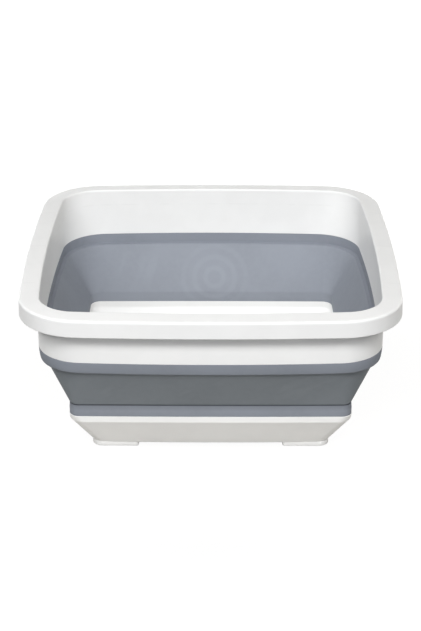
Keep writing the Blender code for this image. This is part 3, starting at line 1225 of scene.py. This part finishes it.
@dataclass
class CornerFoot(Part):
    """Square pad under one corner of the base, with a shallow tread on its underside."""

    NEAR = 1e-5  # an edge this near to the block's corner is an upright edge of it
    DOWNWARD = -0.9  # a face whose normal's Z is under this is the underside

    depth: Depth
    hand: Hand
    span: float = 0.0472
    centre: float = 0.0969
    height: float = 0.0056
    outer_corner: float = 0.0105
    inner_corner: float = 0.0025
    outer_steps: int = 12
    inner_steps: int = 6
    edge_round: float = 0.0004
    edge_steps: int = 3
    edge_angle: float = math.radians(70)  # sharper edges than this are rounded
    tread_inset: float = 0.0020
    tread_depth: float = 0.0010

    @property
    def name(self) -> str:
        """Name of the CAD node that the pad stands for."""
        return f"foot_{self.depth.name.lower()}_{self.hand.name.lower()}"

    def build(self) -> Piece:
        """Shapes the pad from a block.

        Returns:
            The finished piece.
        """
        deselect_all()
        place = (self.hand.value * self.centre, self.depth.value * self.centre, self.height / 2)
        bpy.ops.mesh.primitive_cube_add(size=1.0, location=place, scale=(self.span, self.span, self.height))
        piece = bpy.context.object
        piece.name = self.name + "_pad"
        piece.data.name = piece.name
        bpy.ops.object.transform_apply(location=True, rotation=True, scale=True)
        bpy.ops.object.mode_set(mode="EDIT")
        self._round_corners(piece, True, self.outer_corner, self.outer_steps)
        self._round_corners(piece, False, self.inner_corner, self.inner_steps)
        self._cut_tread(piece)
        bpy.ops.object.mode_set(mode="OBJECT")
        edge = piece.modifiers.new("soft_edges", "BEVEL")
        edge.limit_method = "ANGLE"
        edge.angle_limit = self.edge_angle
        edge.width = self.edge_round
        edge.segments = self.edge_steps
        bpy.ops.object.modifier_apply(modifier=edge.name)
        bpy.ops.object.shade_smooth_by_angle(angle=SMOOTH_ANGLE)
        return piece

    def _round_corners(self, piece: Piece, outermost: bool, radius: float, steps: int) -> None:
        """Bevels the upright edges, either the one at the base's corner or the other three.

        Args:
            piece: the pad, in edit mode.
            outermost: whether the corner under the base's own corner is meant.
            radius: radius of the corner.
            steps: faces round the corner.
        """
        bpy.ops.mesh.select_mode(type="EDGE")
        bpy.ops.mesh.select_all(action="DESELECT")
        mesh = bmesh.from_edit_mesh(piece.data)
        for edge in mesh.edges:
            low, high = sorted(vertex.co.z for vertex in edge.verts)
            middle = (edge.verts[0].co + edge.verts[1].co) / 2
            reach_x = (middle.x - self.hand.value * self.centre) * self.hand.value
            reach_y = (middle.y - self.depth.value * self.centre) * self.depth.value
            at_corner = min(abs(reach_x), abs(reach_y)) > self.span / 2 - self.NEAR
            if high - low > self.height / 2 and at_corner:
                is_outer = reach_x > 0 and reach_y > 0
                edge.select_set(is_outer == outermost)
        bmesh.update_edit_mesh(piece.data)
        bpy.ops.mesh.bevel(offset=radius, segments=steps, affect="EDGES")

    def _cut_tread(self, piece: Piece) -> None:
        """Sinks a shallow field into the underside.

        Args:
            piece: the pad, in edit mode.
        """
        bpy.ops.mesh.select_mode(type="FACE")
        bpy.ops.mesh.select_all(action="DESELECT")
        mesh = bmesh.from_edit_mesh(piece.data)
        for face in mesh.faces:
            face.select_set(face.normal.z < self.DOWNWARD)
        bmesh.update_edit_mesh(piece.data)
        bpy.ops.mesh.inset(thickness=self.tread_inset, depth=0)
        bpy.ops.mesh.extrude_region_move(TRANSFORM_OT_translate={"value": (0, 0, self.tread_depth)})

    def _tie(self, piece: Piece) -> None:
        """Ties the pad to the base.

        Args:
            piece: the built pad.
        """
        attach(piece, Body.BASE.value)
        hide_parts(self.name)


@dataclass(frozen=True)
class Viewpoint:
    """Camera of the photograph, whose frame is 421 by 631 pixels."""

    elevation: float = math.radians(22.07)
    azimuth: float = math.radians(0.2)
    distance: float = 1.6639
    focal: float = 1591.39  # in pixels
    column: float = 211.0  # of the rim's centre in the frame
    row: float = 245.26
    frame_width: int = 421
    frame_height: int = 631
    sensor: float = 36.0
    clip: float = 0.01

    def build(self) -> None:
        """Adds the camera and makes it the scene's."""
        pitch = self.elevation + math.atan((self.frame_height / 2 - self.row) / self.focal)
        level = math.cos(self.elevation) * self.distance
        eye = Vector((math.sin(self.azimuth) * level, -math.cos(self.azimuth) * level, 0))
        eye.z = CREST + math.sin(self.elevation) * self.distance
        ahead = math.cos(pitch)
        back = Vector((math.sin(self.azimuth) * ahead, -math.cos(self.azimuth) * ahead, math.sin(pitch)))
        right = Vector((math.cos(self.azimuth), math.sin(self.azimuth), 0))
        eye -= right * ((self.column - self.frame_width / 2) / self.focal * self.distance)
        deselect_all()
        bpy.ops.object.camera_add()
        camera = bpy.context.object
        camera.name = "viewpoint"
        camera.data.sensor_width = self.sensor
        camera.data.lens = self.focal / self.frame_height * self.sensor
        camera.data.clip_start = self.clip
        turn = Matrix((right, back.cross(right), back)).transposed().to_4x4()
        camera.matrix_world = Matrix.Translation(eye) @ turn
        bpy.context.scene.camera = camera


@dataclass(frozen=True)
class Softbox:
    """Large soft lamp aimed at the bucket."""

    name: str
    place: Triple
    width: float
    height: float
    power: float
    colour: Triple = (1.0, 1.0, 1.0)
    aim: Triple = (0.0, 0.0, 0.09)

    def build(self) -> None:
        """Adds the lamp."""
        deselect_all()
        bpy.ops.object.light_add(type="AREA", location=self.place)
        lamp = bpy.context.object
        lamp.name = self.name
        lamp.data.shape = "RECTANGLE"
        lamp.data.size = self.width
        lamp.data.size_y = self.height
        lamp.data.energy = self.power
        lamp.data.color = self.colour
        lamp.rotation_euler = (Vector(self.aim) - Vector(self.place)).to_track_quat("-Z", "Y").to_euler()


@dataclass
class Studio:
    """White studio: floor, surrounding light and softboxes."""

    floor_size: float = 12.0
    floor_gap: float = 0.0002
    floor_colour: Colour = (0.50, 0.475, 0.43, 1.0)
    dim_colour: Colour = (0.03, 0.03, 0.03, 1.0)  # where no light bounces, away from the bucket
    bounce_start: Pair = (0.09, 0.15)  # the floor bounces light from here
    bounce_end: Pair = (0.34, 0.21)  # up to here, measured from the middle
    shadow_share: float = 0.16  # of the lit floor in what the camera sees near the bucket
    shadow_reach: Pair = (0.6, 0.2)
    shadow_makeup: float = 0.85  # how far the white outshines 1, per share, so that the lit floor stays white
    ambient: float = 0.01
    white: Colour = (1.0, 1.0, 1.0, 1.0)
    softboxes: list[Softbox] = field(
        default_factory=lambda: [
            Softbox("front_low_softbox", (0.0, -2.32, 1.04), 1.0, 0.5, 14.6, (0.98, 1.0, 1.04)),
            Softbox("front_high_softbox", (0.0, -1.80, 1.84), 1.0, 0.5, 25.0),
            Softbox("front_left_softbox", (-0.85, -1.83, 1.57), 1.0, 0.5, 16.6),
            Softbox("front_right_softbox", (0.85, -1.83, 1.57), 1.0, 0.5, 11.8),
            Softbox("left_softbox", (-1.86, 0.0, 1.77), 0.8, 0.8, 14.0),
            Softbox("right_softbox", (1.86, 0.0, 1.77), 0.8, 0.8, 2.6, (1.06, 1.0, 0.90)),
            Softbox("right_low_softbox", (2.20, 0.8, 0.62), 0.8, 0.4, 5.4, (1.06, 1.0, 0.88)),
            Softbox("top_softbox", (0.0, 0.0, 2.60), 1.2, 1.2, 2.6),
            Softbox("back_softbox", (0.0, 2.40, 0.14), 1.4, 0.2, 7.0),
            Softbox("back_left_softbox", (-1.75, 1.65, 0.14), 1.4, 0.2, 9.0),
            Softbox("back_right_softbox", (1.75, 1.65, 0.14), 1.4, 0.2, 9.0),
        ]
    )

    def build(self) -> None:
        """Adds the floor, the world and the lamps."""
        bpy.context.scene.view_settings.view_transform = "Standard"
        self._build_floor()
        self._build_world()
        for softbox in self.softboxes:
            softbox.build()

    def _build_floor(self) -> None:
        """Lays a pale floor that the camera sees as white, apart from the bucket's shadow."""
        deselect_all()
        bpy.ops.mesh.primitive_plane_add(size=self.floor_size, location=(0, 0, -self.floor_gap))
        floor = bpy.context.object
        floor.name = "studio_floor"
        material = bpy.data.materials.new("studio_floor")
        material.use_nodes = True
        graph = ShaderGraph(material.node_tree)
        x, y, _ = graph.split(graph.place())
        reach = graph.math("SQRT", x * x + y * y)
        beyond = abs(x).larger(abs(y))
        lit = graph.fade(beyond, *self.bounce_start) * graph.fade(beyond, *self.bounce_end)
        colour = graph.blend(lit, self.dim_colour, self.floor_colour)
        matt = graph.node("BsdfDiffuse", {"Color": colour})
        strength = 1.0 + self.shadow_makeup * self.shadow_share
        white = graph.node("Emission", {"Strength": strength})
        beside = graph.fade(reach, *self.shadow_reach)
        seen = self._seen_directly(graph) * (1.0 - self.shadow_share * beside)
        mixed = graph.node("MixShader", {0: seen, 1: matt.outputs[0], 2: white.outputs[0]})
        graph.node("OutputMaterial", {"Surface": mixed.outputs[0]})
        floor.data.materials.append(material)

    def _build_world(self) -> None:
        """Surrounds the bucket with soft light that the camera sees as white."""
        world = bpy.data.worlds.new("studio_surround")
        world.use_nodes = True
        graph = ShaderGraph(world.node_tree)
        light = graph.node("Background", {"Color": self.white, "Strength": self.ambient})
        white = graph.node("Background", {"Color": self.white, "Strength": 1.0})
        seen = self._seen_directly(graph)
        mixed = graph.node("MixShader", {0: seen, 1: light.outputs[0], 2: white.outputs[0]})
        graph.node("OutputWorld", {"Surface": mixed.outputs[0]})
        bpy.context.scene.world = world

    @staticmethod
    def _seen_directly(graph: ShaderGraph) -> Value:
        """Tells what the camera sees directly or in a reflection from soft light.

        Args:
            graph: graph of the material or the world.

        Returns:
            1 for what it sees, 0 for soft light.
        """
        path = graph.node("LightPath")
        rays = ("Is Camera Ray", "Is Glossy Ray", "Is Transmission Ray")
        camera, glossy, transmitted = [Value(graph, path.outputs[ray]) for ray in rays]
        return camera.larger(glossy).larger(transmitted)


def main() -> None:
    """Builds the studio and the bucket."""
    logging.basicConfig(level=logging.INFO, format="%(message)s")
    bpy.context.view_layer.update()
    Viewpoint().build()
    Studio().build()
    white, grey, pale = [finish.material() for finish in (WhitePlastic(), GreyRubber(), PaleRubber())]
    parts: list[tuple[Part, bpy.types.Material]]
    parts = [(RimFrame(), white), (FoldingWall(), grey), (BaseTray(), white)]
    parts += [(CornerFoot(depth, hand), pale) for depth in Depth for hand in Hand]
    for part, material in parts:
        piece = part.build()
        part.dress(piece, material)
        log.info("%s: %d faces", piece.name, len(piece.data.polygons))


if __name__ == "__main__":
    main()
